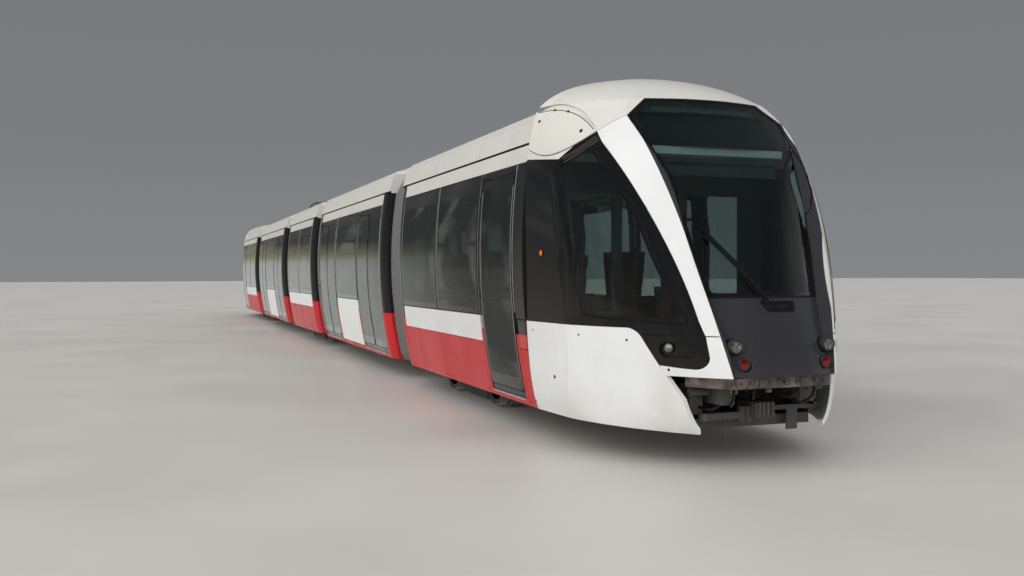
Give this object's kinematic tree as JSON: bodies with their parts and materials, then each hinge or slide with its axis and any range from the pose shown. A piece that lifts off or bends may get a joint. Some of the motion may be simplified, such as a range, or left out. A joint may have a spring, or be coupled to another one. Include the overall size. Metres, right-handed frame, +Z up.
{
  "type": "articulated low-floor tram",
  "caption": "White and red articulated low-floor tram with sloping glazed cabs at both ends, bellows between modules, railway wheelsets and a roof pantograph.",
  "frame": {"origin": "on the track centre line under the middle of the tram, at the lowest points of the wheel flanges", "axes": "+X along the tram to the front cab, +Y to its left side, +Z up"},
  "size_m": [32.38, 2.6658, 3.3],
  "materials": {
    "bellows_rubber": "matte",
    "black_gloss": "gloss",
    "bogie_steel": "matte",
    "charcoal_paint": "satin",
    "door_black": "satin",
    "frame_grey": "satin",
    "glazing": "polished",
    "lamp_lens": "polished",
    "pantograph_steel": "satin",
    "red_paint": "gloss",
    "roof_white": "satin",
    "seat_plastic": "satin",
    "underframe_steel": "matte",
    "wheel_steel": "worn",
    "white_paint": "gloss"
  },
  "bodies": {
    "cab_module_front": {"cab_bogie_frame_front": "bogie_steel", "cab_doors_front": "door_black", "cab_interior_front": "seat_plastic", "cab_lamps_front": "lamp_lens", "cab_nose_front": "charcoal_paint", "cab_red_panels_front": "red_paint", "cab_roof_front": "roof_white", "cab_side_surround_front": "black_gloss", "cab_underframe_front": "underframe_steel", "cab_walls_front": "frame_grey", "cab_white_panels_front": "white_paint", "cab_windows_front": "glazing"},
    "cab_module_rear": {"cab_bogie_frame_rear": "bogie_steel", "cab_doors_rear": "door_black", "cab_interior_rear": "seat_plastic", "cab_lamps_rear": "lamp_lens", "cab_nose_rear": "charcoal_paint", "cab_red_panels_rear": "red_paint", "cab_roof_rear": "roof_white", "cab_side_surround_rear": "black_gloss", "cab_underframe_rear": "underframe_steel", "cab_walls_rear": "frame_grey", "cab_white_panels_rear": "white_paint", "cab_windows_rear": "glazing"},
    "cab_wheelset_inner_front": {"cab_wheelset_inner_front": "wheel_steel"},
    "cab_wheelset_inner_rear": {"cab_wheelset_inner_rear": "wheel_steel"},
    "cab_wheelset_outer_front": {"cab_wheelset_outer_front": "wheel_steel"},
    "cab_wheelset_outer_rear": {"cab_wheelset_outer_rear": "wheel_steel"},
    "centre_module": {"centre_bogie_frame": "bogie_steel", "centre_interior": "seat_plastic", "centre_roof": "roof_white", "centre_side_panels": "red_paint", "centre_underframe": "underframe_steel", "centre_walls": "frame_grey", "centre_windows": "glazing", "inner_bellows_front": "bellows_rubber", "inner_bellows_rear": "bellows_rubber"},
    "centre_wheelset_front": {"centre_wheelset_front": "wheel_steel"},
    "centre_wheelset_rear": {"centre_wheelset_rear": "wheel_steel"},
    "suspended_module_front": {"outer_bellows_front": "bellows_rubber", "suspended_doors_front": "door_black", "suspended_interior_front": "seat_plastic", "suspended_roof_front": "roof_white", "suspended_side_panels_front": "red_paint", "suspended_underframe_front": "underframe_steel", "suspended_walls_front": "frame_grey", "suspended_windows_front": "glazing"},
    "suspended_module_rear": {"outer_bellows_rear": "bellows_rubber", "suspended_doors_rear": "door_black", "suspended_interior_rear": "seat_plastic", "suspended_roof_rear": "roof_white", "suspended_side_panels_rear": "red_paint", "suspended_underframe_rear": "underframe_steel", "suspended_walls_rear": "frame_grey", "suspended_windows_rear": "glazing"},
    "pantograph_head": {"pantograph_head": "pantograph_steel"},
    "pantograph_lower_arm": {"pantograph_lower_arm": "pantograph_steel"},
    "pantograph_upper_arm": {"pantograph_upper_arm": "pantograph_steel"}
  },
  "joints": [
    {"name": "inner_articulation_front", "type": "hinge", "parent": "centre_module", "child": "suspended_module_front", "pos_m": [2.35, 0, 0.32], "axis": [0, 0, 1], "range_deg": [-14, 14], "deforming": ["inner_bellows_front"]},
    {"name": "outer_articulation_front", "type": "hinge", "parent": "suspended_module_front", "child": "cab_module_front", "pos_m": [8.95, 0, 0.32], "axis": [0, 0, 1], "range_deg": [-14, 14], "deforming": ["outer_bellows_front"]},
    {"name": "cab_wheelset_outer_front_spin", "type": "hinge", "parent": "cab_module_front", "child": "cab_wheelset_outer_front", "pos_m": [11.9, 0, 0.32], "axis": [0, 1, 0], "continuous": true},
    {"name": "cab_wheelset_inner_front_spin", "type": "hinge", "parent": "cab_module_front", "child": "cab_wheelset_inner_front", "pos_m": [10.3, 0, 0.32], "axis": [0, 1, 0], "continuous": true},
    {"name": "centre_wheelset_front_spin", "type": "hinge", "parent": "centre_module", "child": "centre_wheelset_front", "pos_m": [0.8, 0, 0.32], "axis": [0, 1, 0], "continuous": true},
    {"name": "inner_articulation_rear", "type": "hinge", "parent": "centre_module", "child": "suspended_module_rear", "pos_m": [-2.35, 0, 0.32], "axis": [0, 0, 1], "range_deg": [-14, 14], "deforming": ["inner_bellows_rear"]},
    {"name": "outer_articulation_rear", "type": "hinge", "parent": "suspended_module_rear", "child": "cab_module_rear", "pos_m": [-8.95, 0, 0.32], "axis": [0, 0, 1], "range_deg": [-14, 14], "deforming": ["outer_bellows_rear"]},
    {"name": "cab_wheelset_outer_rear_spin", "type": "hinge", "parent": "cab_module_rear", "child": "cab_wheelset_outer_rear", "pos_m": [-11.9, 0, 0.32], "axis": [0, 1, 0], "continuous": true},
    {"name": "cab_wheelset_inner_rear_spin", "type": "hinge", "parent": "cab_module_rear", "child": "cab_wheelset_inner_rear", "pos_m": [-10.3, 0, 0.32], "axis": [0, 1, 0], "continuous": true},
    {"name": "centre_wheelset_rear_spin", "type": "hinge", "parent": "centre_module", "child": "centre_wheelset_rear", "pos_m": [-0.8, 0, 0.32], "axis": [0, 1, 0], "continuous": true},
    {"name": "pantograph_raise", "type": "hinge", "parent": "centre_module", "child": "pantograph_lower_arm", "pos_m": [-0.7, 0, 2.96], "axis": [0, -1, 0], "range_deg": [0, 55]},
    {"name": "pantograph_knee", "type": "hinge", "parent": "pantograph_lower_arm", "child": "pantograph_upper_arm", "pos_m": [0.56, 0, 3.03], "axis": [0, -1, 0], "range_deg": [-113, 0]},
    {"name": "pantograph_head_tilt", "type": "hinge", "parent": "pantograph_upper_arm", "child": "pantograph_head", "pos_m": [-0.56, 0, 3.11], "axis": [0, -1, 0], "range_deg": [0, 58]}
  ],
  "couplings": [
    {"joint": "pantograph_knee", "follows": "pantograph_raise", "ratio": -2.04},
    {"joint": "pantograph_head_tilt", "follows": "pantograph_raise", "ratio": 1.04}
  ]
}
